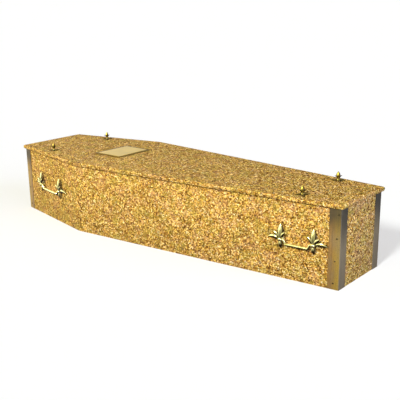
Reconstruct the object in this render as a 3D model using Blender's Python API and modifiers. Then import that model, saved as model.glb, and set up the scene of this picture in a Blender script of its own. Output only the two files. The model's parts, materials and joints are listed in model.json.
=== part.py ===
"""A six-sided coffin with a loose flat lid, corner angles, swing handles and lid furniture.

Metres, +Z up. The origin is on the floor under the middle of the box, +X runs to the foot end.
"""
import math

import bmesh
import bpy
from mathutils import Matrix, Vector

# The box, outside sizes of the boards
LENGTH = 1.900
HEAD_WIDTH = 0.369
SHOULDER_WIDTH = 0.594
FOOT_WIDTH = 0.325
SHOULDER_FROM_HEAD = 0.532
WALL_HEIGHT = 0.3295
BOARD = 0.016
TOUCH = 0.0003

# The lid
LID_OVERHANG = 0.0117
LID_THICKNESS = 0.020
LID_EDGE_RADIUS = 0.008

# The nameplate on the lid
NAMEPLATE_X = -0.393
BACKING_SIZE = (0.177, 0.224, 0.0030)
NAMEPLATE_SIZE = (0.148, 0.196, 0.0012)
PLATE_CHAMFER = 0.0008

# The metal angles up the four end corners
ANGLE_LEG = 0.048
ANGLE_THICKNESS = 0.0015
ANGLE_ARRIS = 0.0030
ANGLE_OFF_FLOOR = 0.001
# Its nails: height and distance from the arris, set by hand in a line that leans towards it
NAIL_PLACES = ((0.027, 0.024), (0.119, 0.020), (0.212, 0.0145), (0.308, 0.0105))
NAIL_RADIUS = 0.0042
NAIL_DOME = 0.0022

# The four wreath holders on the lid: their places along and across it
HOLDER_PLACES = {"head": (-0.712, 0.186), "foot": (0.763, 0.141)}
HOLDER_LEAF = 0.0205
HOLDER_LEAF_WIDTH = 0.0150
HOLDER_LEAF_THICKNESS = 0.0056
HOLDER_HUB_RADIUS = 0.009
HOLDER_HUB_NECK = 0.0054
HOLDER_HUB_HEIGHT = 0.006
HOLDER_STEM_RADIUS = 0.0033
HOLDER_STEM = 0.0144
HOLDER_SPEAR_FOOT = 0.009
HOLDER_SPEAR = 0.031
HOLDER_SPEAR_WIDTH = 0.0145
HOLDER_PETAL = 0.019
HOLDER_PETAL_WIDTH = 0.0085
HOLDER_PETAL_THICKNESS = 0.0055
HOLDER_PETAL_LEAN = 34
HOLDER_LEAF_ROOT = 0.003
HOLDER_LEAF_HEIGHT = 0.0029
HOLDER_PETAL_ROOT = 0.0012

# The handles: where each one stands along its panel, and the distance between its two plates
HANDLE_HEIGHT = 0.170
FOOT_HANDLE_FROM_CORNER = 0.178
FOOT_HANDLE_SPAN = 0.144
HEAD_HANDLE_FROM_CORNER = 0.284
HEAD_HANDLE_SPAN = 0.196

# One handle plate: a foot on the panel, a socket for the bail, and a lily on the front
PLATE_FOOT_RADIUS = 0.012
PLATE_NECK_RADIUS = 0.006
BOSS_OUT = 0.019
BOSS_RADIUS = 0.0072
BOSS_DEPTH = 0.012
SOCKET_OUT = 0.014
SOCKET_RADIUS = 0.0080
SOCKET_LENGTH = 0.015
SOCKET_BORE_RADIUS = 0.0044
SOCKET_BORE_DEPTH = 0.010
SOCKET_CLEARANCE = 0.003
# Its petals: angle from upright, length, width, where the width is greatest, root and tip off the panel
PLATE_PETALS = (
    (0, 0.066, 0.0230, 1.15, 0.0150, 0.0185),
    (88, 0.057, 0.0165, 0.95, 0.0135, 0.0105),
    (42, 0.038, 0.0140, 1.15, 0.0170, 0.0220),
    (-32, 0.033, 0.0125, 1.25, 0.0180, 0.0220),
    (180, 0.039, 0.0160, 0.85, 0.0135, 0.0065),
)
PETAL_THICKNESS = 0.0085

# The bail
BAIL_DROP = 0.019
BAIL_ARM_RUN = 0.026
BAR_RADIUS = 0.0070
BAIL_PIN_RADIUS = 0.0034
BAIL_PIN_DEPTH = 0.008
BAIL_SHOULDER = 0.0015
BAIL_ARM_STEPS = 6


def start_clean():
    """Remove every object of the open scene and give the model its two collections."""
    for thing in list(bpy.data.objects):
        bpy.data.objects.remove(thing, do_unlink=True)
    coffin = bpy.data.collections.new("coffin")
    helpers = bpy.data.collections.new("coffin_cutters")
    for group in (coffin, helpers):
        bpy.context.scene.collection.children.link(group)
    return coffin, helpers


def finish(name, colour, roughness, metallic):
    """A plain Principled material."""
    material = bpy.data.materials.new(name)
    material.use_nodes = True
    shader = material.node_tree.nodes["Principled BSDF"]
    shader.inputs["Base Color"].default_value = (*colour, 1.0)
    shader.inputs["Roughness"].default_value = roughness
    shader.inputs["Metallic"].default_value = metallic
    material.diffuse_color = (*colour, 1.0)
    return material


def add_part(name, mesh, material, parent=None, location=(0, 0, 0)):
    """Put a mesh into the coffin as a named part."""
    part = bpy.data.objects.new(name, mesh)
    COFFIN.objects.link(part)
    part.location = location
    part.parent = parent
    if not mesh.materials:
        mesh.materials.append(material)
    return part


def helper_object(name, mesh):
    """A hidden object that only shapes others."""
    helper = bpy.data.objects.new(name, mesh)
    HELPERS.objects.link(helper)
    helper.hide_render = True
    helper.display_type = "WIRE"
    return helper


def evaluated_mesh(thing, name):
    """The mesh of an object with its modifiers applied, welded, and the object removed."""
    depsgraph = bpy.context.evaluated_depsgraph_get()
    depsgraph.update()
    mesh = bpy.data.meshes.new_from_object(thing.evaluated_get(depsgraph))
    mesh.name = name
    shape = bmesh.new()
    shape.from_mesh(mesh)
    bmesh.ops.remove_doubles(shape, verts=shape.verts, dist=1e-6)
    shape.to_mesh(mesh)
    shape.free()
    bpy.data.objects.remove(thing, do_unlink=True)
    return mesh


def slab_mesh(name, outline, low, high):
    """A flat plan outline made solid between two heights."""
    curve = bpy.data.curves.new(name, "CURVE")
    curve.dimensions = "2D"
    curve.fill_mode = "BOTH"
    curve.extrude = (high - low) / 2
    spline = curve.splines.new("POLY")
    spline.points.add(len(outline) - 1)
    for point, (x, y) in zip(spline.points, outline):
        point.co = (x, y, 0, 1)
    spline.use_cyclic_u = True
    mesh = evaluated_mesh(helper_object(name + "_outline", curve), name)
    mesh.transform(Matrix.Translation((0, 0, (low + high) / 2)))
    return mesh


def rounded(part, width, segments):
    """Round the sharp edges of a part."""
    bevel = part.modifiers.new("rounded edges", "BEVEL")
    bevel.width = width
    bevel.segments = segments
    bevel.limit_method = "ANGLE"
    bevel.angle_limit = math.radians(30)
    return part


def smooth(mesh, angle=35):
    """Shade a mesh smooth, with its creases kept sharp."""
    mesh.shade_smooth()
    mesh.set_sharp_from_angle(angle=math.radians(angle))
    return mesh


def plan_corners(offset=0.0):
    """The six corners of the box in plan, every face moved out by an offset.

    They run round the box: head, shoulder and foot on the near side, then foot, shoulder and head
    on the far side.
    """
    shoulder_x = SHOULDER_FROM_HEAD - LENGTH / 2
    near = [
        Vector((-LENGTH / 2, -HEAD_WIDTH / 2)),
        Vector((shoulder_x, -SHOULDER_WIDTH / 2)),
        Vector((LENGTH / 2, -FOOT_WIDTH / 2)),
    ]
    corners = near + [Vector((point.x, -point.y)) for point in reversed(near)]
    moved = []
    for index, corner in enumerate(corners):
        before = (corner - corners[index - 1]).normalized()
        after = (corners[(index + 1) % len(corners)] - corner).normalized()
        out_before = Vector((before.y, -before.x))
        out_after = Vector((after.y, -after.x))
        moved.append(corner + (out_before + out_after) * offset / (1 + out_before.dot(out_after)))
    return moved


def at_x(start, end, x):
    """The point of a straight line that has a given x."""
    return start.lerp(end, (x - start.x) / (end.x - start.x))


def mirrored(outline):
    """A plan outline on the other side of the middle plane, in the same turning sense."""
    return [Vector((point.x, -point.y)) for point in reversed(outline)]


def build_boards(board_finish):
    """Base, sides and ends: the ends stand between the sides and the base lies inside them all."""
    outer = plan_corners()
    inner = plan_corners(-BOARD)
    clear = plan_corners(-BOARD - TOUCH)
    head_x, foot_x = -LENGTH / 2, LENGTH / 2
    side = [
        outer[0], outer[1], outer[2],
        at_x(inner[1], inner[2], foot_x), inner[1], at_x(inner[0], inner[1], head_x),
    ]
    head = [
        at_x(clear[0], clear[1], head_x), at_x(clear[0], clear[1], head_x + BOARD),
    ]
    foot = [
        at_x(clear[1], clear[2], foot_x - BOARD), at_x(clear[1], clear[2], foot_x),
    ]
    outlines = {
        "side_board_near": side,
        "side_board_far": mirrored(side),
        "head_board": head + mirrored(head),
        "foot_board": foot + mirrored(foot),
    }
    for name, outline in outlines.items():
        add_part(name, slab_mesh(name, outline, 0, WALL_HEIGHT), board_finish)
    add_part("base_board", slab_mesh("base_board", clear, 0, BOARD), board_finish)


def build_lid(board_finish, backing_finish, nameplate_finish):
    """The loose lid with its rounded edge, and the nameplate on its dark backing."""
    low = WALL_HEIGHT + TOUCH
    top = low + LID_THICKNESS
    lid = add_part("lid", slab_mesh("lid", plan_corners(LID_OVERHANG), low, top), board_finish)
    rounded(lid, LID_EDGE_RADIUS, 3)
    for name, size, material in (
        ("nameplate_backing", BACKING_SIZE, backing_finish),
        ("nameplate", NAMEPLATE_SIZE, nameplate_finish),
    ):
        half_x, half_y = size[0] / 2, size[1] / 2
        outline = [(-half_x, -half_y), (half_x, -half_y), (half_x, half_y), (-half_x, half_y)]
        low = top + TOUCH
        top = low + size[2]
        mesh = slab_mesh(name, outline, low, top)
        rounded(add_part(name, mesh, material, location=(NAMEPLATE_X, 0, 0)), PLATE_CHAMFER, 1)


def arc_between(corner, before, after, radius, steps):
    """Points that round off a plan corner between two straight runs."""
    turn = before.angle(after)
    reach = radius * math.tan(turn / 2)
    centre = corner + (after - before).normalized() * radius / math.cos(turn / 2)
    start = corner - before * reach - centre
    sense = 1 if before.cross(after) > 0 else -1
    return [centre + Matrix.Rotation(sense * turn * step / steps, 2) @ start for step in range(steps + 1)]


def build_corner_angles(angle_finish, nail_finish):
    """Bent sheet angles round the four end corners, nailed through their long-side legs."""
    inner = plan_corners(TOUCH)
    outer = plan_corners(TOUCH + ANGLE_THICKNESS)
    nail = nail_mesh()
    for end, index in (("head", 0), ("foot", 2)):
        after = (inner[index + 1] - inner[index]).normalized()
        before = (inner[index] - inner[index - 1]).normalized()
        outline = [inner[index] - before * ANGLE_LEG, outer[index] - before * ANGLE_LEG]
        outline += arc_between(outer[index], before, after, ANGLE_ARRIS, 4)
        outline += [outer[index] + after * ANGLE_LEG, inner[index] + after * ANGLE_LEG, inner[index]]
        side_run = after if end == "head" else -before
        outward = Vector((side_run.y, -side_run.x)) * (1 if end == "head" else -1)
        for side, flip in (("near", 1), ("far", -1)):
            name = f"corner_angle_{end}_{side}"
            plan = outline if flip == 1 else mirrored(outline)
            mesh = smooth(slab_mesh(name, plan, ANGLE_OFF_FLOOR, WALL_HEIGHT - TOUCH))
            add_part(name, mesh, angle_finish)
            facing = Vector((outward.x, outward.y * flip, 0))
            for number, (height, from_arris) in enumerate(NAIL_PLACES, start=1):
                pin = add_part(f"angle_nail_{end}_{side}_{number}", nail, nail_finish)
                foot_point = outer[index] + side_run * from_arris
                pin.location = Vector((foot_point.x, foot_point.y * flip, height)) + facing * TOUCH
                pin.rotation_euler = facing.to_track_quat("Z", "Y").to_euler()


def nail_mesh():
    """A domed nail head that stands on the sheet, its dome along +Z: a profile turned round."""
    steps = 3
    arc = [math.radians(90 * step / steps) for step in range(steps + 1)]
    profile = [(NAIL_RADIUS * math.sin(angle), NAIL_DOME * math.cos(angle)) for angle in arc]
    profile.append((0.0, 0.0))
    return turned_mesh("nail", profile, 10)


def turned_mesh(name, profile, sides):
    """A profile of (radius, height) points, from the top down its outer side, turned about Z."""
    mesh = bpy.data.meshes.new(name + "_profile")
    points = [(radius, 0, height) for radius, height in profile]
    edges = [(index, index + 1) for index in range(len(points) - 1)]
    mesh.from_pydata(points, edges, [])
    guide = helper_object(name + "_profile", mesh)
    screw = guide.modifiers.new("turned", "SCREW")
    screw.steps = screw.render_steps = sides
    screw.use_merge_vertices = True
    screw.merge_threshold = 0.00005
    return smooth(evaluated_mesh(guide, name), 50)


def leaf_helper(name, length, width, thickness, placing, belly=0.8, lift=0.0):
    """A keeled, pointed leaf from its root at the origin up +Z, its tip lifted towards -Y.

    It starts as a four-sided ball. Its rings are drawn out to the leaf's length, and its width
    swells from the root and runs out to a point. A larger belly puts the widest place further up.
    """
    mesh = bpy.data.meshes.new(name)
    shape = bmesh.new()
    bmesh.ops.create_uvsphere(shape, u_segments=4, v_segments=7, radius=1)
    for vert in shape.verts:
        along = (vert.co.z + 1) / 2
        swell = math.sin(math.pi * along ** belly)
        ring = math.hypot(vert.co.x, vert.co.y) or 1
        vert.co = Vector((
            vert.co.x / ring * swell * width / 2,
            vert.co.y / ring * swell * thickness / 2 - lift * along,
            along * length,
        ))
    shape.to_mesh(mesh)
    shape.free()
    mesh.transform(placing)
    return helper_object(name, mesh)


def cylinder_mesh(name, radius_low, radius_high, height, sides, placing):
    """A cylinder or cone frustum that stands on the origin along +Z, then placed."""
    mesh = bpy.data.meshes.new(name)
    shape = bmesh.new()
    bmesh.ops.create_cone(shape, cap_ends=True, segments=sides, radius1=radius_low,
                          radius2=radius_high, depth=height)
    bmesh.ops.translate(shape, verts=shape.verts, vec=(0, 0, height / 2))
    shape.to_mesh(mesh)
    shape.free()
    mesh.transform(placing)
    return mesh


def joined_mesh(name, body, added, cut=()):
    """The mesh of a body with other solids united with it and others cut out of it."""
    for operation, others in (("UNION", added), ("DIFFERENCE", cut)):
        for other in others:
            step = body.modifiers.new(operation.lower(), "BOOLEAN")
            step.operation = operation
            step.object = other
    mesh = evaluated_mesh(body, name)
    for other in (*added, *cut):
        bpy.data.objects.remove(other, do_unlink=True)
    return smooth(mesh, 40)


def build_wreath_holders(metal):
    """A cross of four leaves with a lily standing on it, one casting, screwed to the lid."""
    hub = helper_object("hub", cylinder_mesh(
        "hub", HOLDER_HUB_RADIUS, HOLDER_HUB_NECK, HOLDER_HUB_HEIGHT, 12, Matrix()))
    added = [helper_object("stem", cylinder_mesh(
        "stem", HOLDER_STEM_RADIUS, HOLDER_STEM_RADIUS, HOLDER_STEM, 8, Matrix()))]
    added.append(leaf_helper("spear", HOLDER_SPEAR, HOLDER_SPEAR_WIDTH, HOLDER_SPEAR_WIDTH,
                             Matrix.Translation((0, 0, HOLDER_SPEAR_FOOT))))
    quarter_turn = Matrix.Rotation(math.radians(90), 4, "Z")
    lying = Matrix.Rotation(math.radians(90), 4, "Y") @ quarter_turn
    leaf_root = Matrix.Translation((HOLDER_LEAF_ROOT, 0, HOLDER_LEAF_HEIGHT))
    leaning = Matrix.Rotation(math.radians(HOLDER_PETAL_LEAN), 4, "Y") @ quarter_turn
    petal_root = Matrix.Translation((HOLDER_PETAL_ROOT, 0, HOLDER_SPEAR_FOOT))
    for quarter in range(4):
        turn = Matrix.Rotation(math.radians(45 + 90 * quarter), 4, "Z")
        added.append(leaf_helper(f"leaf_{quarter}", HOLDER_LEAF, HOLDER_LEAF_WIDTH,
                                 HOLDER_LEAF_THICKNESS, turn @ leaf_root @ lying))
        added.append(leaf_helper(f"petal_{quarter}", HOLDER_PETAL, HOLDER_PETAL_WIDTH,
                                 HOLDER_PETAL_THICKNESS, turn @ petal_root @ leaning))
    mesh = joined_mesh("wreath_holder", hub, added)
    top = WALL_HEIGHT + LID_THICKNESS + 2 * TOUCH
    for end, (x, y) in HOLDER_PLACES.items():
        for side, flip in (("near", -1), ("far", 1)):
            add_part(f"wreath_holder_{end}_{side}", mesh, metal, location=(x, y * flip, top))


def handle_plate_mesh(outward):
    """One handle plate, against the panel at y = 0 and standing out along -Y.

    outward is +1 for the plate on the right of its handle and -1 for the one on the left: the long
    side petal points that way and the socket for the bail opens the other way.
    """
    from_panel = Matrix.Rotation(math.radians(90), 4, "X")
    foot = helper_object("foot", cylinder_mesh(
        "foot", PLATE_FOOT_RADIUS, PLATE_NECK_RADIUS, BOSS_OUT, 16, from_panel))
    boss = bpy.data.meshes.new("boss")
    shape = bmesh.new()
    bmesh.ops.create_uvsphere(shape, u_segments=12, v_segments=7, radius=1)
    shape.to_mesh(boss)
    shape.free()
    boss.transform(Matrix.Translation((0, -BOSS_OUT, 0)) @ from_panel
                   @ Matrix.Diagonal((BOSS_RADIUS, BOSS_RADIUS, BOSS_DEPTH / 2, 1)))
    along_panel = Matrix.Rotation(math.radians(90), 4, "Y")
    socket_start = Matrix.Translation((-SOCKET_LENGTH / 2, -SOCKET_OUT, 0))
    added = [helper_object("boss", boss), helper_object("socket", cylinder_mesh(
        "socket", SOCKET_RADIUS, SOCKET_RADIUS, SOCKET_LENGTH, 16, socket_start @ along_panel))]
    for angle, length, width, belly, root_out, tip_out in PLATE_PETALS:
        placing = Matrix.Translation((0, -root_out, 0)) @ Matrix.Rotation(
            math.radians(angle * outward), 4, "Y")
        added.append(leaf_helper(f"petal_{angle}", length, width, PETAL_THICKNESS, placing, belly,
                                 tip_out - root_out))
    before_mouth = -outward * (SOCKET_LENGTH / 2 + SOCKET_CLEARANCE)
    floor = -outward * (SOCKET_LENGTH / 2 - SOCKET_BORE_DEPTH)
    bore_start = Matrix.Translation((min(before_mouth, floor), -SOCKET_OUT, 0))
    bore = helper_object("bore", cylinder_mesh(
        "bore", SOCKET_BORE_RADIUS, SOCKET_BORE_RADIUS, abs(floor - before_mouth), 12,
        bore_start @ along_panel))
    return joined_mesh("handle_plate_right" if outward > 0 else "handle_plate_left",
                       foot, added, [bore])


def bail_mesh(span):
    """The bail about its own hinge line, the X axis, hanging down -Z with its pins at both ends."""
    mouth = span / 2 - SOCKET_LENGTH / 2
    bar_end = span / 2 - BAIL_ARM_RUN - SOCKET_LENGTH / 2
    route = [
        (mouth + BAIL_PIN_DEPTH, 0.0, BAIL_PIN_RADIUS),
        (mouth - BAIL_SHOULDER, 0.0, BAIL_PIN_RADIUS),
    ]
    arm_start = mouth - BAIL_SHOULDER - BAIL_PIN_RADIUS
    for step in range(BAIL_ARM_STEPS + 1):
        share = step / BAIL_ARM_STEPS
        ease = share * share * (3 - 2 * share)
        route.append((
            arm_start + (bar_end - arm_start) * share,
            -BAIL_DROP * ease,
            BAIL_PIN_RADIUS + (BAR_RADIUS - BAIL_PIN_RADIUS) * share,
        ))
    points = route + [(-x, z, radius) for x, z, radius in reversed(route)]
    curve = bpy.data.curves.new("bail", "CURVE")
    curve.dimensions = "3D"
    curve.bevel_depth = 1.0
    curve.bevel_resolution = 3
    curve.use_fill_caps = True
    spline = curve.splines.new("POLY")
    spline.points.add(len(points) - 1)
    for point, (x, z, radius) in zip(spline.points, points):
        point.co = (x, 0, z, 1)
        point.radius = radius
    return smooth(evaluated_mesh(helper_object("bail_line", curve), "bail"))


def build_handles(metal):
    """Two plates and a swinging bail for each handle, on an empty at its place on the panel."""
    corners = plan_corners()
    right, left = handle_plate_mesh(1), handle_plate_mesh(-1)
    places = {
        "head": (corners[0], corners[1], HEAD_HANDLE_FROM_CORNER, HEAD_HANDLE_SPAN),
        "foot": (corners[2], corners[1], FOOT_HANDLE_FROM_CORNER, FOOT_HANDLE_SPAN),
    }
    for end, (corner, shoulder, distance, span) in places.items():
        middle = corner + (shoulder - corner).normalized() * distance
        run = shoulder - corner if end == "head" else corner - shoulder
        bail = bail_mesh(span)
        for side, flip in (("near", 1), ("far", -1)):
            place = bpy.data.objects.new(f"handle_place_{end}_{side}", None)
            COFFIN.objects.link(place)
            place.empty_display_size = 0.05
            outward = Vector((run.y, -run.x, 0)).normalized()
            outward.y *= flip
            place.location = Vector((middle.x, middle.y * flip, HANDLE_HEIGHT)) + outward * TOUCH
            place.rotation_euler.z = math.atan2(run.y, run.x) if flip == 1 else math.atan2(run.y, -run.x)
            name = f"{end}_{side}"
            add_part(f"handle_plate_{name}_right", right, metal, place, (span / 2, 0, 0))
            add_part(f"handle_plate_{name}_left", left, metal, place, (-span / 2, 0, 0))
            add_part(f"bail_{name}", bail, metal, place, (0, -SOCKET_OUT, 0))


COFFIN, HELPERS = start_clean()

glitter_board = finish("glitter_board", (0.62, 0.43, 0.13), 0.35, 0.6)
polished_brass = finish("polished_brass", (0.83, 0.69, 0.27), 0.16, 1.0)
bronze_sheet = finish("bronze_sheet", (0.36, 0.28, 0.15), 0.38, 1.0)
nail_brass = finish("nail_brass", (0.45, 0.36, 0.20), 0.3, 1.0)
dark_backing = finish("dark_backing", (0.16, 0.10, 0.04), 0.4, 0.3)
pale_brass = finish("pale_brass", (0.80, 0.66, 0.36), 0.3, 1.0)

build_boards(glitter_board)
build_lid(glitter_board, dark_backing, pale_brass)
build_corner_angles(bronze_sheet, nail_brass)
build_wreath_holders(polished_brass)
build_handles(polished_brass)
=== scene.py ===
import json
import math

import bmesh
import bpy
from mathutils import Matrix, Vector


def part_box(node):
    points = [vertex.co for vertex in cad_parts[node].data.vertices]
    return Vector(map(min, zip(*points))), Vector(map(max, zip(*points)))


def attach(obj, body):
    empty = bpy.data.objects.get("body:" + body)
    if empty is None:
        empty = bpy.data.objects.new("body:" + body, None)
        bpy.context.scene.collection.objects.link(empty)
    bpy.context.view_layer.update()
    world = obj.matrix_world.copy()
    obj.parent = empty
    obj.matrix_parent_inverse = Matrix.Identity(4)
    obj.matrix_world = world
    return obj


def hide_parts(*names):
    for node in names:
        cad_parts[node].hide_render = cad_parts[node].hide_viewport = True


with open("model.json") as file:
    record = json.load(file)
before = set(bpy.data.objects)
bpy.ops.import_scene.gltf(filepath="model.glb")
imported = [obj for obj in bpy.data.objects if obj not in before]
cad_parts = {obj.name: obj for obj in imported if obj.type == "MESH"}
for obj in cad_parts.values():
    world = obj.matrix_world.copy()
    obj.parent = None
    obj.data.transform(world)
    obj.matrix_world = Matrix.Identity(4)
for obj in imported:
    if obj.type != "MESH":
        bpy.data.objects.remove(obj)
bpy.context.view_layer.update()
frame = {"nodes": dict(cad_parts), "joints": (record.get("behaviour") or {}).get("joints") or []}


# The camera stands past the foot end on the near side, a little above the lid, and looks back
# along the coffin. It is as far away as the fall of the long edges in the photograph asks for.
# Here and below, lengths are in metres and angles in degrees.
CAMERA_PLACE = (2.1730, -2.4289, 1.1018)
CAMERA_TURN = 40.25
CAMERA_DOWN = 16.09
CAMERA_TILT = -0.81
LENS = 63.27


def turn(degrees, axis):
    return Matrix.Rotation(math.radians(degrees), 4, axis)


bpy.ops.object.select_all(action="DESELECT")
bpy.ops.object.camera_add(location=CAMERA_PLACE)
camera = bpy.context.object
camera.name = "camera"
camera.data.lens = LENS
facing = turn(CAMERA_TURN, "Z") @ turn(90 - CAMERA_DOWN, "X") @ turn(CAMERA_TILT, "Z")
camera.rotation_euler = facing.to_euler()
bpy.context.scene.camera = camera


# A white studio floor under four lamps: the key lamp in front, two faint ones above and at the head
# end, and a wide bluish one past the foot end. The room adds an even light, mostly from below. In it
# polished metal mirrors a white wall at the head end, a soft box in front and a pale ceiling.
FLOOR_TONE = (0.387, 0.398, 0.385, 1.0)
FLOOR_GLOW = (0.597, 0.575, 0.507, 1.0)
FLOOR_SIZE = 2000
LAMPS = (
    {"name": "key_lamp", "from": (0.08, -0.82, 0.54), "strength": 4.18, "spread": 10,
     "colour": (1.0, 1.0, 1.0)},
    {"name": "top_lamp", "from": (0.02, -0.40, 0.92), "strength": 0.16, "spread": 24,
     "colour": (1.0, 1.0, 1.0)},
    {"name": "left_lamp", "from": (-0.76, -0.50, 0.42), "strength": 0.40, "spread": 34,
     "colour": (1.0, 1.0, 1.0)},
    {"name": "fill_lamp", "from": (0.98, 0.05, 0.12), "strength": 7.0, "spread": 60,
     "colour": (0.45, 0.53, 1.0)},
)
ROOM_SEEN = (1.05, 1.05, 1.05, 1.0)
ROOM_LIGHT = ((0.46, 0.30), (0.54, 0.04))
MIRRORED_BY_HEIGHT = (
    (0.00, 0.00), (0.32, 0.04), (0.42, 0.18), (0.50, 0.34), (0.60, 0.06), (0.82, 0.08), (0.90, 0.70),
    (1.00, 0.70),
)
MIRRORED_BY_SIDE = (
    (0.00, 1.60), (0.12, 1.10), (0.21, 0.12), (0.30, 0.00), (0.66, 0.00), (0.73, 0.50), (0.80, 0.50),
    (0.86, 0.00),
)
SOFTBOX = 1.3
SOFTBOX_FRONT = ((0.30, 1.0), (0.45, 0.0))
SOFTBOX_ABOVE = ((0.48, 0.0), (0.54, 1.0))
SOFTBOX_LEFT = ((0.45, 1.0), (0.60, 0.0))

bpy.context.scene.view_settings.view_transform = "Standard"
bpy.ops.object.select_all(action="DESELECT")
bpy.ops.mesh.primitive_plane_add(size=FLOOR_SIZE)
floor = bpy.context.object
floor.name = "studio_floor"
floor.visible_glossy = False
floor.visible_diffuse = False
floor_finish = bpy.data.materials.new("studio_floor")
floor_finish.use_nodes = True
floor_shader = floor_finish.node_tree.nodes["Principled BSDF"]
floor_shader.inputs["Base Color"].default_value = FLOOR_TONE
floor_shader.inputs["Roughness"].default_value = 1.0
floor_shader.inputs["Specular IOR Level"].default_value = 0.0
floor_shader.inputs["Emission Color"].default_value = FLOOR_GLOW
floor_shader.inputs["Emission Strength"].default_value = 1.0
floor.data.materials.append(floor_finish)

for plan in LAMPS:
    bpy.ops.object.light_add(type="SUN", location=plan["from"])
    lamp = bpy.context.object
    lamp.name = plan["name"]
    lamp.data.energy = plan["strength"]
    lamp.data.angle = math.radians(plan["spread"])
    lamp.data.color = plan["colour"]
    lamp.rotation_euler = (-Vector(plan["from"])).to_track_quat("-Z", "Y").to_euler()


class Wire:
    """A value on its way through nodes. Sums and products written with it become Math nodes."""

    def __init__(self, socket):
        self.socket = socket

    def node(self, kind, inputs, output=0, stops=(), **settings):
        """Add a node: its settings and ramp stops first, then a number or a wire for each socket."""
        tree = self.socket.id_data
        new = tree.nodes.new("ShaderNode" + kind)
        for name, setting in settings.items():
            setattr(new, name, setting)
        while stops and len(new.color_ramp.elements) < len(stops):
            new.color_ramp.elements.new(0.5)
        for index, (place, colour) in enumerate(stops):
            new.color_ramp.elements[index].position = place
            new.color_ramp.elements[index].color = (*colour, 1.0)
        for name, value in inputs.items():
            if isinstance(value, Wire):
                tree.links.new(value.socket, new.inputs[name])
            else:
                new.inputs[name].default_value = value
        return Wire(new.outputs[output])

    def maths(self, operation, *values):
        return self.node("Math", dict(enumerate(values)), operation=operation)

    def __add__(self, other):
        return self.maths("ADD", self, other)

    def __sub__(self, other):
        return self.maths("SUBTRACT", self, other)

    def __rsub__(self, other):
        return self.maths("SUBTRACT", other, self)

    def __mul__(self, other):
        return self.maths("MULTIPLY", self, other)

    __radd__ = __add__
    __rmul__ = __mul__

    def size(self):
        return self.maths("ABSOLUTE", self)

    def larger(self, other):
        return self.maths("MAXIMUM", self, other)

    def ease(self, start, end):
        """0 before start, 1 after end and smooth between them."""
        return self.node("MapRange", {"Value": self, "From Min": start, "From Max": end},
                         interpolation_type="SMOOTHSTEP")

    def between(self, low, high):
        """The low number where this value is 0 and the high one where it is 1."""
        return low + (high - low) * self

    def axis(self, name):
        return self.node("SeparateXYZ", {"Vector": self}, name)

    def channel(self, name):
        return self.node("SeparateColor", {"Color": self}, name)

    def noise(self, scale, detail=2.0, rough=0.5):
        return self.node("TexNoise", {"Vector": self, "Scale": scale, "Detail": detail,
                                      "Roughness": rough})

    def cells(self, size):
        """A random colour for each cell of about this size."""
        return self.node("TexVoronoi", {"Vector": self, "Scale": 1 / size}, "Color")

    def stretched(self, along_x, along_y, along_z):
        return self.node("Mapping", {"Vector": self, "Scale": (along_x, along_y, along_z)})

    def mix(self, low, high):
        """The low colour where this value is 0 and the high one where it is 1."""
        return self.node("Mix", {0: self, 6: low, 7: high}, 2, data_type="RGBA")

    def ramp(self, stops):
        """Colours along this value, from pairs of place and colour."""
        return self.node("ValToRGB", {"Fac": self}, stops=stops)

    def levels(self, stops):
        """Greys along this value, from pairs of place and brightness."""
        return self.ramp([(place, (level, level, level)) for place, level in stops])

    def bump(self, depth):
        return self.node("Bump", {"Height": self, "Distance": depth})


def feed(shader, wires):
    """Link wires to a shader's sockets."""
    for name, wire in wires.items():
        shader.id_data.links.new(wire.socket, shader.inputs[name])


room = bpy.data.worlds.new("room")
bpy.context.scene.world = room
room.use_nodes = True
room.node_tree.nodes.clear()
room_end = room.node_tree.nodes.new("ShaderNodeOutputWorld")
way = Wire(room.node_tree.nodes.new("ShaderNodeTexCoord").outputs["Generated"])
side = 0.5 * way.axis("X") + 0.5
front = 0.5 * way.axis("Y") + 0.5
height = 0.5 * way.axis("Z") + 0.5
softbox = front.levels(SOFTBOX_FRONT) * height.levels(SOFTBOX_ABOVE) * side.levels(SOFTBOX_LEFT)
mirrored = height.levels(MIRRORED_BY_HEIGHT) + side.levels(MIRRORED_BY_SIDE) + SOFTBOX * softbox
light = way.node("MixShader", {
    0: way.node("LightPath", {}, "Is Glossy Ray"),
    1: way.node("Background", {"Color": height.levels(ROOM_LIGHT)}),
    2: way.node("Background", {"Color": mirrored}),
})
light = way.node("MixShader", {
    0: way.node("LightPath", {}, "Is Camera Ray"),
    1: light,
    2: way.node("Background", {"Color": ROOM_SEEN}),
})
feed(room_end, {"Surface": light})


# The box is thin board, covered outside with gold glitter: flakes of a few millimetres over finer
# ones and in clumps, each at its own slant, from brown gold to pale gold. Some flakes are pink, some
# clumps are olive, and both tints drift over the boards. Inside, and underneath, the board is bare.
LENGTH = 1.900
SHOULDER_X = -0.418
SHOULDER_HALF = 0.297
BOARD = 0.016
BOARD_ARRIS = 0.0012
SHOULDER_ROUND = 0.014
FLAKE = 0.0049
FINE_FLAKE = 0.0026
CLUMP = 0.0110
FLAKE_TONE = 0.66
FINE_TONE = 0.22
CLUMP_TONE = 0.12
FLAKE_SLANT = 1.18
FINE_SLANT = 0.60
CLUMP_SLANT = 0.30
GLITTER_TONES = (
    (0.06, (0.080, 0.036, 0.008)),
    (0.30, (0.250, 0.110, 0.017)),
    (0.52, (0.520, 0.262, 0.036)),
    (0.73, (0.830, 0.500, 0.092)),
    (0.93, (1.000, 0.820, 0.350)),
)
PINK_GOLD = (0.720, 0.370, 0.160, 1.0)
OLIVE_GOLD = (0.420, 0.330, 0.050, 1.0)
TINT = 0.40
PINK_FLAKES = (0.76, 0.96)
OLIVE_CLUMPS = (0.30, 0.05)
DRIFT_SCALE = 17.0
PINK_DRIFT = (0.52, 0.66)
OLIVE_DRIFT = (0.48, 0.34)
PINK_DRIFT_TINT = 0.22
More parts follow.
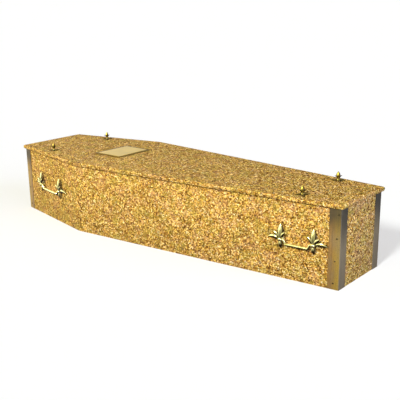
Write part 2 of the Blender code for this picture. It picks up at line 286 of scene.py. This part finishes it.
OLIVE_DRIFT_TINT = 0.30
GLITTER_METAL = 0.20
GLITTER_ROUGH = (0.36, 0.58)
BARE_BOARD = (0.420, 0.290, 0.170, 1.0)
BARE_BOARD_DARK = (0.300, 0.190, 0.100, 1.0)
BARE_ROUGH = (0.72, 0.88)
FIBRE_SCALE = 360.0
FIBRES = (0.35, 0.70)
FIBRE_DEPTH = 0.0004
SHARP = 30
AT_SHOULDER = 0.01
FACES_OUT = 0.3
MERGE = 0.00002


def start_material(name):
    """A new material, its shader, and the place on the piece as a wire."""
    material = bpy.data.materials.new(name)
    material.use_nodes = True
    tree = material.node_tree
    shader = tree.nodes["Principled BSDF"]
    place = Wire(tree.nodes.new("ShaderNodeTexCoord").outputs["Object"])
    return material, shader, place


glitter, shader, place = start_material("gold_glitter")
flakes = place.cells(FLAKE)
fine_flakes = place.cells(FINE_FLAKE)
clumps = place.cells(CLUMP)
drift = place.noise(DRIFT_SCALE)
tone = FLAKE_TONE * flakes.channel("Red") + FINE_TONE * fine_flakes.channel("Red")
tone = tone + CLUMP_TONE * clumps.channel("Red")
colour = tone.ramp(GLITTER_TONES)
colour = (TINT * flakes.channel("Green").ease(*PINK_FLAKES)).mix(colour, PINK_GOLD)
colour = (TINT * clumps.channel("Green").ease(*OLIVE_CLUMPS)).mix(colour, OLIVE_GOLD)
colour = (PINK_DRIFT_TINT * drift.ease(*PINK_DRIFT)).mix(colour, PINK_GOLD)
colour = (OLIVE_DRIFT_TINT * drift.ease(*OLIVE_DRIFT)).mix(colour, OLIVE_GOLD)
slant = place.node("NewGeometry", {}, "Normal")
for layer, share in ((flakes, FLAKE_SLANT), (fine_flakes, FINE_SLANT), (clumps, CLUMP_SLANT)):
    tip = layer.node("VectorMath", {0: layer, 1: (0.5, 0.5, 0.5)}, operation="SUBTRACT")
    slant = tip.node("VectorMath", {0: tip, 1: (share, share, share), 2: slant},
                     operation="MULTIPLY_ADD")
feed(shader, {
    "Base Color": colour,
    "Roughness": fine_flakes.channel("Blue").between(*GLITTER_ROUGH),
    "Normal": slant.node("VectorMath", {0: slant}, operation="NORMALIZE"),
})
shader.inputs["Metallic"].default_value = GLITTER_METAL
shader.inputs["Specular IOR Level"].default_value = 0.0

bare_board, shader, place = start_material("bare_board")
fibres = place.noise(FIBRE_SCALE, 6.0, 0.7)
feed(shader, {
    "Base Color": fibres.ease(*FIBRES).mix(BARE_BOARD_DARK, BARE_BOARD),
    "Roughness": fibres.between(*BARE_ROUGH),
    "Normal": fibres.bump(FIBRE_DEPTH),
})


def select_only(*pieces):
    """Select these pieces and nothing else, with the first one active."""
    bpy.ops.object.select_all(action="DESELECT")
    for piece in pieces:
        piece.select_set(True)
    bpy.context.view_layer.objects.active = pieces[0]


def start_edit(piece, kind="EDGE"):
    """Open one piece for editing, with everything on it selected."""
    select_only(piece)
    bpy.ops.object.mode_set(mode="EDIT")
    bpy.ops.mesh.select_mode(type=kind)
    bpy.ops.mesh.select_all(action="SELECT")


def end_edit():
    bpy.ops.object.mode_set(mode="OBJECT")


def pick(piece, kind, test):
    """Select the verts, edges or faces that pass a test, on a piece that is open for editing."""
    bpy.ops.mesh.select_all(action="DESELECT")
    shape = bmesh.from_edit_mesh(piece.data)
    for item in getattr(shape, kind):
        if test(item):
            item.select_set(True)
    shape.select_flush_mode()
    bmesh.update_edit_mesh(piece.data)


def middle(edge):
    return (edge.verts[0].co + edge.verts[1].co) / 2


def upright(edge):
    return abs((edge.verts[1].co - edge.verts[0].co).normalized().z) > 0.99


def at_shoulder(edge):
    return upright(edge) and abs(middle(edge).x - SHOULDER_X) < AT_SHOULDER


def sharper(edge, degrees):
    return math.degrees(edge.calc_face_angle(0)) > degrees


def copy_of(node, name):
    """A new piece with the shape of a CAD node, its loose triangles merged into flat faces."""
    piece = bpy.data.objects.new(name, frame["nodes"][node].data.copy())
    bpy.context.scene.collection.objects.link(piece)
    piece.data.materials.clear()
    start_edit(piece, "VERT")
    bpy.ops.mesh.remove_doubles(threshold=MERGE)
    bpy.ops.mesh.customdata_custom_splitnormals_clear()
    bpy.ops.mesh.dissolve_limited(angle_limit=math.radians(1.0))
    end_edit()
    return piece


def smooth_by_angle(piece, degrees):
    select_only(piece)
    bpy.ops.object.shade_smooth_by_angle(angle=math.radians(degrees))


def settle(piece, body, slot, *nodes):
    """Let a finished piece ride on its body in place of CAD nodes. Its slot is not used."""
    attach(piece, body)
    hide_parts(*nodes)


OUTWARD = {
    "side_board_near": Vector((0, -1, 0)),
    "side_board_far": Vector((0, 1, 0)),
    "head_board": Vector((-1, 0, 0)),
    "foot_board": Vector((1, 0, 0)),
}
for node, outward in OUTWARD.items():
    board = copy_of(node, node + "_covered")
    start_edit(board)
    if node.startswith("side"):
        pick(board, "edges", lambda edge: at_shoulder(edge)
             and middle(edge).dot(outward) > SHOULDER_HALF - BOARD / 2)
        bpy.ops.mesh.bevel(offset=SHOULDER_ROUND, segments=5)
    pick(board, "edges", lambda edge: sharper(edge, SHARP))
    bpy.ops.mesh.bevel(offset=BOARD_ARRIS, segments=2)
    end_edit()
    board.data.materials.append(bare_board)
    board.data.materials.append(glitter)
    for face in board.data.polygons:
        face.material_index = 1 if face.normal.dot(outward) > FACES_OUT else 0
    smooth_by_angle(board, 30)
    settle(board, "coffin", "glitter_board", node)

base = copy_of("base_board", "base_board_bare")
start_edit(base)
pick(base, "edges", lambda edge: not upright(edge) or sharper(edge, SHARP))
bpy.ops.mesh.bevel(offset=BOARD_ARRIS, segments=2)
end_edit()
base.data.materials.append(bare_board)
settle(base, "coffin", "glitter_board", "base_board")


# The lid is one thicker board in the same glitter, cut wider than the box all round. Its edge is
# rounded above and below, and the rounds meet in a mitre at each corner. It lies loose on the walls.
LID_HALF_HEAD = 0.1940
LID_HALF_FOOT = 0.1731
LID_SHOULDER_ROUND = 0.0080
LID_ROUND = 0.0080
LID_MITRE = 0.0010
MITRE_SHARP = 20
MITRE_REACH = 0.02
CLOSE = 0.0001


def block(node, name):
    """A block that fills the box of a CAD node, still to be worked."""
    low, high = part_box(node)
    bpy.ops.object.select_all(action="DESELECT")
    bpy.ops.mesh.primitive_cube_add(size=1, location=(low + high) / 2, scale=high - low)
    piece = bpy.context.object
    piece.name = name
    bpy.ops.object.transform_apply()
    return piece


lid = block("lid", "lid_covered")
lid_low, lid_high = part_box("lid")
start_edit(lid)
bpy.ops.mesh.bisect(plane_co=(SHOULDER_X, 0, 0), plane_no=(1, 0, 0))
for half_width, end_x in ((LID_HALF_HEAD, lid_low.x), (LID_HALF_FOOT, lid_high.x)):
    pick(lid, "verts", lambda vert: abs(vert.co.x - end_x) < CLOSE)
    bpy.ops.transform.resize(value=(1, half_width / lid_high.y, 1), center_override=(end_x, 0, 0))
pick(lid, "edges", at_shoulder)
bpy.ops.mesh.bevel(offset=LID_SHOULDER_ROUND, segments=4)
for level in (lid_high.z, lid_low.z):
    pick(lid, "edges", lambda edge: all(abs(vert.co.z - level) < CLOSE for vert in edge.verts)
         and sharper(edge, SHARP))
    bpy.ops.mesh.bevel(offset=LID_ROUND, segments=6)
pick(lid, "edges", lambda edge: abs(middle(edge).x) > LENGTH / 2 - MITRE_REACH
     and sharper(edge, MITRE_SHARP) and lid_low.z + CLOSE < middle(edge).z < lid_high.z - CLOSE)
bpy.ops.mesh.bevel(offset=LID_MITRE, segments=2)
end_edit()
lid.data.materials.append(glitter)
lid.data.materials.append(bare_board)
for face in lid.data.polygons:
    face.material_index = 1 if face.normal.z < -0.99 else 0
smooth_by_angle(lid, 30)
settle(lid, "coffin", "glitter_board", "lid")


# The nameplate is a thin brushed plate of pale brass on a larger dark brown backing plate, both with
# softened edges. A fine line is pressed in round its border. It is left bare.
BACKING_TONE = (0.120, 0.070, 0.010, 1.0)
BACKING_LIGHT = (0.220, 0.135, 0.022, 1.0)
BACKING_MOTTLE_SCALE = 90.0
BACKING_MOTTLE = (0.3, 0.7)
BACKING_ROUGH = (0.34, 0.54)
BACKING_GLOSS = 0.05
PLATE_TONE = (0.800, 0.560, 0.140, 1.0)
PLATE_TONE_LOW = (0.640, 0.450, 0.110, 1.0)
PLATE_BRUSHING = (9.0, 900.0, 9.0)
PLATE_BRUSH_DEPTH = 0.00012
PLATE_CLOUD_SCALE = 14.0
PLATE_CLOUDS = (0.30, 0.68)
PLATE_ROUGH = (0.26, 0.44)
PLATE_METAL = 0.4
PLATE_GLOSS = 0.1
PLATE_EDGE = 0.0005
PLATE_SHARP = 60
BORDER_FROM_EDGE = 0.006
BORDER_LINE = 0.0014
BORDER_DEPTH = 0.0004

backing_finish, shader, place = start_material("dark_backing")
mottle = place.noise(BACKING_MOTTLE_SCALE, 4.0)
feed(shader, {
    "Base Color": mottle.ease(*BACKING_MOTTLE).mix(BACKING_TONE, BACKING_LIGHT),
    "Roughness": mottle.between(*BACKING_ROUGH),
})
shader.inputs["Specular IOR Level"].default_value = BACKING_GLOSS

plate_finish, shader, place = start_material("pale_brushed_brass")
brushing = place.stretched(*PLATE_BRUSHING).noise(1.0, 3.0, 0.6)
clouding = place.noise(PLATE_CLOUD_SCALE)
feed(shader, {
    "Base Color": (0.5 * brushing + 0.5 * clouding).ease(*PLATE_CLOUDS).mix(PLATE_TONE_LOW, PLATE_TONE),
    "Roughness": brushing.between(*PLATE_ROUGH),
    "Normal": brushing.bump(PLATE_BRUSH_DEPTH),
})
shader.inputs["Metallic"].default_value = PLATE_METAL
shader.inputs["Specular IOR Level"].default_value = PLATE_GLOSS

PLATES = (
    ("nameplate_backing", "dark_backing", backing_finish),
    ("nameplate", "pale_brass", plate_finish),
)
for node, slot, finish in PLATES:
    plate = block(node, node + "_worked")
    start_edit(plate, "FACE")
    if node == "nameplate":
        pick(plate, "faces", lambda face: face.normal.z > 0.9)
        bpy.ops.mesh.inset(thickness=BORDER_FROM_EDGE)
        bpy.ops.mesh.inset(thickness=BORDER_LINE / 2, depth=-BORDER_DEPTH)
        bpy.ops.mesh.inset(thickness=BORDER_LINE / 2, depth=BORDER_DEPTH)
    bpy.ops.mesh.select_mode(type="EDGE")
    pick(plate, "edges", lambda edge: sharper(edge, PLATE_SHARP))
    bpy.ops.mesh.bevel(offset=PLATE_EDGE, segments=2)
    end_edit()
    plate.data.materials.append(finish)
    smooth_by_angle(plate, 25)
    settle(plate, "coffin", slot, node)


# Up each end corner runs an angle of thin bronzed sheet, brushed lengthways, with a rounded arris and
# soft edges. Painted shade darkens it towards the top, under the lid's overhang, and painted light
# makes its end leg greyer, as the cool light from the foot end would. Its side leg is gold to rose.
SHEET_EDGE = 0.0004
SHEET_LEG = 0.048
SHEET_DARK = (0.052, 0.044, 0.024, 1.0)
SHEET_GREY = (0.270, 0.205, 0.097, 1.0)
SHEET_GOLD = (0.450, 0.280, 0.046, 1.0)
SHEET_ROSE = (0.350, 0.185, 0.059, 1.0)
SHEET_METAL = 0.30
SHEET_GLOSS = 0.06
SHEET_SHARP = 60
SHEET_BRUSHING = (600.0, 600.0, 8.0)
SHEET_STAINS = (26.0, 26.0, 9.0)
SPECKLE_SCALE = 330.0
SPECKLE_RISE = 0.6
SHEET_DEPTH = 0.0001
END_LEG = (0.0016, -0.0012)
ROSE_FROM_ARRIS = (0.022, 0.052)
ROSE_CREEP = 0.030
ROSE_SHARE = 0.8
STAINED = (0.42, 0.66)
STAIN_SHARE = 0.55
END_LEG_PAINTED_LIGHT = 0.92
SIDE_LEG_PAINTED_SHADE = (0.200, 0.300)
END_LEG_PAINTED_SHADE = (0.150, 0.290)
PAINTED_SHADE_CREEP = (-0.03, 0.03)
PAINTED_TOP_SHADE_SHARE = 0.88
BRUSHED_DARK = (0.35, 0.75)
SPECKLED_DARK = (0.40, 0.70)
FINE_DARK_SHARE = 0.26
DARK_FROM_ARRIS = (SHEET_LEG - 0.0026, SHEET_LEG - 0.0012)
SHEET_ROUGH = 0.34
BRUSHING_ROUGH = 0.14
STAIN_ROUGH = 0.10

sheet_finish, shader, place = start_material("bronzed_sheet")
brushing = place.stretched(*SHEET_BRUSHING).noise(1.0, 3.0, 0.6)
stain = place.stretched(*SHEET_STAINS).noise(1.0, 3.0)
speckle = place.noise(SPECKLE_SCALE)
from_arris = LENGTH / 2 - place.axis("X").size()
end_leg = from_arris.ease(*END_LEG)
rose = (from_arris + ROSE_CREEP * stain).ease(*ROSE_FROM_ARRIS)
colour = (ROSE_SHARE * rose).mix(SHEET_GOLD, SHEET_ROSE)
colour = (STAIN_SHARE * stain.ease(*STAINED)).mix(colour, SHEET_GREY)
# Painted light: the end leg is painted greyer, as under the cool light from the foot end.
colour = (END_LEG_PAINTED_LIGHT * end_leg).mix(colour, SHEET_GREY)
# Painted shade: the sheet is painted darker towards the top, where the lid overhangs it.
up = place.axis("Z") + stain.between(*PAINTED_SHADE_CREEP)
dark = end_leg.between(up.ease(*SIDE_LEG_PAINTED_SHADE), up.ease(*END_LEG_PAINTED_SHADE))
colour = (PAINTED_TOP_SHADE_SHARE * dark).mix(colour, SHEET_DARK)
fine_dark = brushing.ease(*BRUSHED_DARK) + speckle.ease(*SPECKLED_DARK)
colour = (FINE_DARK_SHARE * fine_dark).mix(colour, SHEET_DARK)
colour = from_arris.ease(*DARK_FROM_ARRIS).mix(colour, SHEET_DARK)
feed(shader, {
    "Base Color": colour,
    "Roughness": SHEET_ROUGH + BRUSHING_ROUGH * brushing + STAIN_ROUGH * stain,
    "Normal": (brushing + SPECKLE_RISE * speckle).bump(SHEET_DEPTH),
})
shader.inputs["Metallic"].default_value = SHEET_METAL
shader.inputs["Specular IOR Level"].default_value = SHEET_GLOSS

CORNERS = ("head_near", "head_far", "foot_near", "foot_far")
for corner in CORNERS:
    angle = copy_of("corner_angle_" + corner, "corner_sheet_" + corner)
    start_edit(angle)
    pick(angle, "edges", lambda edge: sharper(edge, SHEET_SHARP))
    bpy.ops.mesh.bevel(offset=SHEET_EDGE, segments=2)
    end_edit()
    angle.data.materials.append(sheet_finish)
    smooth_by_angle(angle, 40)
    settle(angle, "coffin", "bronze_sheet", "corner_angle_" + corner)


# Four small brass nails hold the long-side leg of each angle, each with a low domed head. Most of
# the head is painted dark, as a painted dark reflection, and small spots on it are painted glints.
NAIL_COUNT = 4
NAIL_BRIGHT = (0.420, 0.330, 0.150, 1.0)
NAIL_DARK = (0.020, 0.013, 0.004, 1.0)
NAIL_GLINT_SCALE = 900.0
NAIL_GLINTS = (0.45, 0.80)
NAIL_ROUGH = (0.16, 0.36)

nail_finish, shader, place = start_material("nail_brass")
# Painted glints: bright spots in random places on a head painted dark.
glints = place.noise(NAIL_GLINT_SCALE, 3.0)
feed(shader, {
    "Base Color": glints.ease(*NAIL_GLINTS).mix(NAIL_DARK, NAIL_BRIGHT),
    "Roughness": glints.between(*NAIL_ROUGH),
})
shader.inputs["Metallic"].default_value = 1.0


def subdivide(piece, levels=2):
    """Round a piece by subdivision."""
    select_only(piece)
    soft = piece.modifiers.new("round", "SUBSURF")
    soft.levels = soft.render_levels = levels
    bpy.ops.object.modifier_apply(modifier=soft.name)


for corner in CORNERS:
    for number in range(1, NAIL_COUNT + 1):
        node = f"angle_nail_{corner}_{number}"
        nail = copy_of(node, f"nail_{corner}_{number}")
        subdivide(nail)
        nail.data.materials.append(nail_finish)
        smooth_by_angle(nail, 60)
        settle(nail, "coffin", "nail_brass", node)


# The four wreath holders are brass castings: a cross of four leaves lies on the lid, and from its
# middle a lily bud stands on a short stem among four small petals that curl outwards.
# Painted shade: the holders' brass is a darker copy of the handles' brass. The holders also take half
# the painted shade on faces that turn down.
HOLDER_BRASS_SHADED = (0.420, 0.310, 0.040, 1.0)
HOLDER_BRASS_DEEP_SHADED = (0.160, 0.105, 0.008, 1.0)
HOLDER_ROUGH = 0.20
HOLDER_UNDERSIDE_SHADE = 0.5
BRASS_PAINTED_SHADE = (0.045, 0.024, 0.003, 1.0)
BRASS_METAL = 0.86
CAST_SCALE = 260.0
CAST_DEPTH = 0.00008
TARNISH_SCALE = 46.0
TARNISH_SHARE = 0.45
CLOUDY = (0.30, 0.56)
PAINTED_SHADE_EASE = (0.05, 0.60)
UNDERSIDE_SHADE_EASE = (0.20, -0.30)
TARNISH_ROUGH = 0.16
DULL_ROUGH = 0.25
TURNED_SIDES = 12
LEAF_SIDES = 8
LEAF_RINGS = 8
LEAF_FULLNESS = 0.8
LEAF_TIP = 0.05
LEAF_THINNEST = 0.25
LEAF_RIDGE = 0.3
LEAF_FRONT = 0.1
LEAF_RIM = 0.40
LEAF_BACK = 0.55
# How much painted shade the rim off a leaf's ridge and its back take.
RIM_PAINTED_SHADE = 0.4
BACK_PAINTED_SHADE = 1.0
LYING_LEAF = {"length": 0.0262, "width": 0.0165, "thick": 0.0066, "lean": 0.0, "curl": 0.0006,
              "keel": 1.25, "belly": 0.80, "root": 0.45}
BUD = {"length": 0.0315, "width": 0.0240, "thick": 0.0240, "lean": 0.0, "curl": 0.0,
       "belly": 0.75, "root": 0.35}
SMALL_PETAL = {"length": 0.0205, "width": 0.0150, "thick": 0.0070, "lean": 0.0, "curl": 0.0060,
               "keel": 0.5, "belly": 0.75, "root": 0.5}
SMALL_PETAL_LEAN = 32
BUD_HEIGHT = 0.0085
SMALL_PETAL_HEIGHT = 0.0095
LYING_LEAF_HEIGHT = 0.0024
LYING_LEAF_OUT = 0.002
SMALL_PETAL_OUT = 0.001
HUB_RINGS = (
    (0.0000, 0.0090), (0.0018, 0.0092), (0.0034, 0.0072), (0.0044, 0.0050), (0.0060, 0.0040),
    (0.0078, 0.0036), (0.0090, 0.0046), (0.0104, 0.0048), (0.0120, 0.0034),
)


def cast_brass(name, low, high, rough, underside_shade):
    """Cast brass: polished, cloudy and a little uneven, with painted shade on the marked parts of
    petals and on faces that turn down.
    """
    metal, shader, place = start_material(name)
    cast = place.noise(CAST_SCALE, 3.0)
    tarnish = place.noise(TARNISH_SCALE, 3.0)
    faces_up = place.node("NewGeometry", {}, "Normal").axis("Z")
    hollow = place.node("Attribute", {}, "Fac", attribute_name="hollow").ease(*PAINTED_SHADE_EASE)
    # Painted shade: marked petal rims and backs, and faces that turn down, are painted dark and made
    # rougher.
    painted_shade_total = hollow.larger(underside_shade * faces_up.ease(*UNDERSIDE_SHADE_EASE))
    cloudy = ((1 - TARNISH_SHARE) * cast + TARNISH_SHARE * tarnish).ease(*CLOUDY)
    feed(shader, {
        "Base Color": painted_shade_total.mix(cloudy.mix(low, high), BRASS_PAINTED_SHADE),
        "Roughness": rough + TARNISH_ROUGH * tarnish + DULL_ROUGH * painted_shade_total,
        "Normal": cast.bump(CAST_DEPTH),
    })
    shader.inputs["Metallic"].default_value = BRASS_METAL
    return metal


def draw_out(rings, sides):
    """A closed solid drawn out upwards, ring by ring.

    Each ring is its height, half width, half depth and its shift towards the front, which is -Y.
    """
    bpy.ops.object.select_all(action="DESELECT")
    bpy.ops.mesh.primitive_circle_add(vertices=sides, radius=1, fill_type="NGON")
    piece = bpy.context.object
    start_edit(piece, "VERT")
    height, wide, deep, front = rings[0]
    bpy.ops.transform.resize(value=(wide, deep, 1), center_override=(0, 0, 0))
    bpy.ops.transform.translate(value=(0, -front, height))
    for before, ring in zip(rings, rings[1:]):
        step = (0, before[3] - ring[3], ring[0] - before[0])
        bpy.ops.mesh.extrude_region_move(TRANSFORM_OT_translate={"value": step})
        bpy.ops.transform.resize(value=(ring[1] / before[1], ring[2] / before[2], 1),
                                 center_override=(0, -ring[3], ring[0]))
    bpy.ops.mesh.select_all(action="SELECT")
    bpy.ops.mesh.normals_make_consistent(inside=False)
    end_edit()
    return piece


def turned(rings):
    """A round solid up +Z, from pairs of height and radius."""
    return draw_out([(height, radius, radius, 0.0) for height, radius in rings], TURNED_SIDES)


def leaf(length, width, thick, lean, curl, sway=0.0, keel=1.0, belly=0.85, root=0.30):
    """A pointed leaf up +Z, bowed sideways by sway.

    Its front has a ridge, as high as keel says. The front off the ridge is marked for some painted
    shade and the back for full painted shade.
    """
    rings = []
    for index in range(LEAF_RINGS + 1):
        share = index / LEAF_RINGS
        swell = max(math.sin(math.pi * share ** belly), 0.0) ** LEAF_FULLNESS
        swell = max(swell, root * (1 - share) ** 2, LEAF_TIP)
        rings.append((share * length, width / 2 * swell, thick / 2 * max(swell, LEAF_THINNEST),
                      lean * share + curl * share * share))
    piece = draw_out(rings, LEAF_SIDES)
    start_edit(piece, "VERT")
    shape = bmesh.from_edit_mesh(piece.data)
    hollow = shape.verts.layers.float.new("hollow")
    for vert in shape.verts:
        ring = min(rings, key=lambda each: abs(each[0] - vert.co.z))
        on_ridge = abs(vert.co.x / ring[1]) < LEAF_RIDGE
        front = -(vert.co.y + ring[3]) / ring[2]
        if front > LEAF_FRONT:
            vert[hollow] = 0.0 if on_ridge else RIM_PAINTED_SHADE
            front *= keel if on_ridge else LEAF_RIM
        else:
            vert[hollow] = BACK_PAINTED_SHADE
            front *= LEAF_BACK
        vert.co.y = -ring[3] - front * ring[2]
        vert.co.x += sway * math.sin(math.pi * vert.co.z / length)
    bmesh.update_edit_mesh(piece.data)
    end_edit()
    return piece


def place_piece(piece, *moves):
    """Move a piece by one or more matrices, the last one first."""
    for move in reversed(moves):
        piece.data.transform(move)
    return piece


def shift(x, y, z):
    return Matrix.Translation((x, y, z))


def join_castings(name, pieces):
    """Join the shapes of one casting, round them by subdivision and shade them smooth."""
    select_only(*pieces)
    bpy.ops.object.join()
    casting = bpy.context.object
    casting.name = name
    casting.matrix_world = Matrix()
    subdivide(casting)
    bpy.ops.object.shade_smooth()
    return casting


def copy_to(casting, name, move):
    """A copy of a modelled casting with its own mesh, moved to its place."""
    copy = bpy.data.objects.new(name, casting.data.copy())
    bpy.context.scene.collection.objects.link(copy)
    copy.data.transform(move)
    return copy


shaded_holder_brass = cast_brass("lid_brass", HOLDER_BRASS_DEEP_SHADED, HOLDER_BRASS_SHADED, HOLDER_ROUGH, HOLDER_UNDERSIDE_SHADE)
shapes = [turned(HUB_RINGS), place_piece(leaf(**BUD), shift(0, 0, BUD_HEIGHT))]
for quarter in range(4):
    around = turn(45 + 90 * quarter, "Z")
    shapes.append(place_piece(leaf(**LYING_LEAF), around, shift(0, -LYING_LEAF_OUT, LYING_LEAF_HEIGHT),
                              turn(90, "X"), turn(180, "Z")))
    shapes.append(place_piece(leaf(**SMALL_PETAL), around,
                              shift(0, -SMALL_PETAL_OUT, SMALL_PETAL_HEIGHT),
                              turn(SMALL_PETAL_LEAN, "X")))
holder = join_castings("wreath_holder", shapes)
for corner in CORNERS:
    low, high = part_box("wreath_holder_" + corner)
    copy = copy_to(holder, "lily_holder_" + corner,
                   shift((low.x + high.x) / 2, (low.y + high.y) / 2, low.z))
    copy.data.materials.append(shaded_holder_brass)
    settle(copy, "coffin", "polished_brass", "wreath_holder_" + corner)
bpy.data.objects.remove(holder, do_unlink=True)


# Each handle has two brass plates, cast as lilies: petals spread from a boss that stands off the
# panel on a turned foot, and a barrel below them takes the pin of the bail.
BRASS = (1.000, 0.910, 0.350, 1.0)
BRASS_DEEP = (0.560, 0.480, 0.080, 1.0)
HANDLE_ROUGH = 0.10
# Faces of the handles that turn down take the full painted shade.
HANDLE_UNDERSIDE_SHADE = 1.0
SOCKET_OUT = 0.014
FOOT_REACH = 0.0002
PETALS = (
    {"at": 0, "length": 0.0670, "width": 0.0290, "thick": 0.0160, "out": 0.0180, "lean": -0.0050,
     "curl": -0.0030, "belly": 1.15, "sway": 0.0},
    {"at": 88, "length": 0.0600, "width": 0.0200, "thick": 0.0130, "out": 0.0120, "lean": 0.0080,
     "curl": -0.0120, "belly": 0.95, "sway": -0.0080},
    {"at": 42, "length": 0.0440, "width": 0.0190, "thick": 0.0120, "out": 0.0150, "lean": 0.0040,
     "curl": 0.0010, "belly": 1.10, "sway": -0.0030},
    {"at": -34, "length": 0.0410, "width": 0.0175, "thick": 0.0120, "out": 0.0150, "lean": 0.0040,
     "curl": 0.0010, "belly": 1.20, "sway": 0.0030},
    {"at": 180, "length": 0.0400, "width": 0.0195, "thick": 0.0120, "out": 0.0120, "lean": 0.0080,
     "curl": -0.0120, "belly": 0.85, "sway": 0.0},
)
FOOT_RINGS = (
    (0.0000, 0.0118), (0.0020, 0.0120), (0.0036, 0.0100), (0.0046, 0.0074), (0.0070, 0.0060),
    (0.0110, 0.0056), (0.0150, 0.0062), (0.0185, 0.0078), (0.0215, 0.0072), (0.0240, 0.0040),
)
BARREL_RINGS = (
    (-0.0075, 0.0058), (-0.0070, 0.0078), (-0.0055, 0.0080), (-0.0045, 0.0070), (0.0040, 0.0070),
    (0.0050, 0.0078), (0.0066, 0.0078), (0.0072, 0.0068),
)


def lily_plate(outward):
    """One plate on a panel at y = 0, its front towards -Y and its long side petal towards outward."""
    foot = place_piece(turned(FOOT_RINGS), turn(90, "X"))
    barrel = place_piece(turned(BARREL_RINGS), shift(0, -SOCKET_OUT, 0), turn(-90 * outward, "Y"))
    shapes = [foot, barrel]
    for plan in PETALS:
        petal = leaf(plan["length"], plan["width"], plan["thick"], plan["lean"], plan["curl"],
                     sway=outward * plan["sway"], belly=plan["belly"])
        shapes.append(place_piece(petal, shift(0, -plan["out"], 0), turn(plan["at"] * outward, "Y")))
    return join_castings("lily_plate", shapes)


def panel_frame(corner):
    """The place of a handle on its panel, read from the joint of its bail."""
    joint = next(each for each in frame["joints"] if each["child"] == "bail_" + corner)
    along = -Vector(joint["axis"]).normalized()
    up = Vector((0, 0, 1))
    inward = up.cross(along)
    turned_to_panel = Matrix((along, inward, up)).transposed().to_4x4()
    return Matrix.Translation(Vector(joint["pos_m"])) @ turned_to_panel @ shift(0, SOCKET_OUT, 0)


def on_panel(panel, node):
    """The points of a CAD node as its panel sees them: x along it, y into it and z up."""
    return [panel.inverted() @ vert.co for vert in frame["nodes"][node].data.vertices]


handle_brass = cast_brass("handle_brass", BRASS_DEEP, BRASS, HANDLE_ROUGH, HANDLE_UNDERSIDE_SHADE)
plates = {"left": lily_plate(-1), "right": lily_plate(1)}
for corner in CORNERS:
    panel = panel_frame(corner)
    for side, plate in plates.items():
        node = f"handle_plate_{corner}_{side}"
        foot = [point.x for point in on_panel(panel, node) if abs(point.y) < FOOT_REACH]
        copy = copy_to(plate, f"lily_plate_{corner}_{side}",
                       panel @ shift((min(foot) + max(foot)) / 2, 0, 0))
        copy.data.materials.append(handle_brass)
        settle(copy, "coffin", "polished_brass", node)
for plate in plates.values():
    bpy.data.objects.remove(plate, do_unlink=True)


# The bail is one brass bar that swings on its two pins. Its arms drop from the pins to a straight
# grip, with a turned ring at each end of it and a slight swelling in the middle.
BAIL_DROP = 0.018
BAIL_ARM_RUN = 0.018
ARM_STEPS = 10
ARM_START = 0.0049
ARM_SIZE = 0.86
BAR_RADIUS = 0.0069
PIN_RADIUS = 0.0034
PIN_PAST_MIDDLE = 0.0005
BARREL_MOUTH = 0.0075
COLLAR_SIZES = ((-0.0060, 1.0), (0.0010, 1.0), (0.0014, 1.5), (0.0034, 1.5), (0.0040, 1.1))
GRIP_SIZES = (
    (0.00, 1.00), (0.03, 1.00), (0.045, 0.72), (0.06, 0.72), (0.075, 1.02), (0.10, 1.02), (0.115, 0.78),
    (0.16, 0.80), (0.30, 0.90), (0.50, 0.96),
)


def bail_bar(span):
    """A bail about its own hinge line, the X axis, with its grip hanging below."""
    mouth = span / 2 - BARREL_MOUTH
    arm_start = mouth - ARM_START
    grip_end = mouth - BAIL_ARM_RUN
    half = [(mouth - inward, 0.0, PIN_RADIUS * size) for inward, size in COLLAR_SIZES]
    for step in range(ARM_STEPS):
        share = step / ARM_STEPS
        fall = share * share * (3 - 2 * share)
        half.append((arm_start + (grip_end - arm_start) * share, -BAIL_DROP * fall,
                     PIN_RADIUS + (BAR_RADIUS * ARM_SIZE - PIN_RADIUS) * share))
    for share, size in GRIP_SIZES:
        half.append((grip_end * (1 - 2 * share), -BAIL_DROP, BAR_RADIUS * size))
    points = half + [(-x, z, radius) for x, z, radius in reversed(half[:-1])]
    line = bpy.data.curves.new("bail", "CURVE")
    line.dimensions = "3D"
    line.bevel_depth = 1.0
    line.bevel_resolution = 4
    line.use_fill_caps = True
    spline = line.splines.new("POLY")
    spline.points.add(len(points) - 1)
    for point, (x, z, radius) in zip(spline.points, points):
        point.co = (x, 0, z, 1)
        point.radius = radius
    bar = bpy.data.objects.new("bail", line)
    bpy.context.scene.collection.objects.link(bar)
    select_only(bar)
    bpy.ops.object.convert(target="MESH")
    bar = bpy.context.object
    start_edit(bar, "VERT")
    bpy.ops.mesh.remove_doubles(threshold=MERGE / 2)
    bpy.ops.mesh.normals_make_consistent(inside=False)
    end_edit()
    smooth_by_angle(bar, 60)
    return bar


for corner in CORNERS:
    panel = panel_frame(corner)
    node = "bail_" + corner
    span = 2 * (max(point.x for point in on_panel(panel, node)) - PIN_PAST_MIDDLE)
    bar = bail_bar(span)
    bar.name = "grip_" + corner
    bar.data.transform(panel @ shift(0, -SOCKET_OUT, 0))
    bar.data.materials.append(handle_brass)
    settle(bar, node, "polished_brass", node)
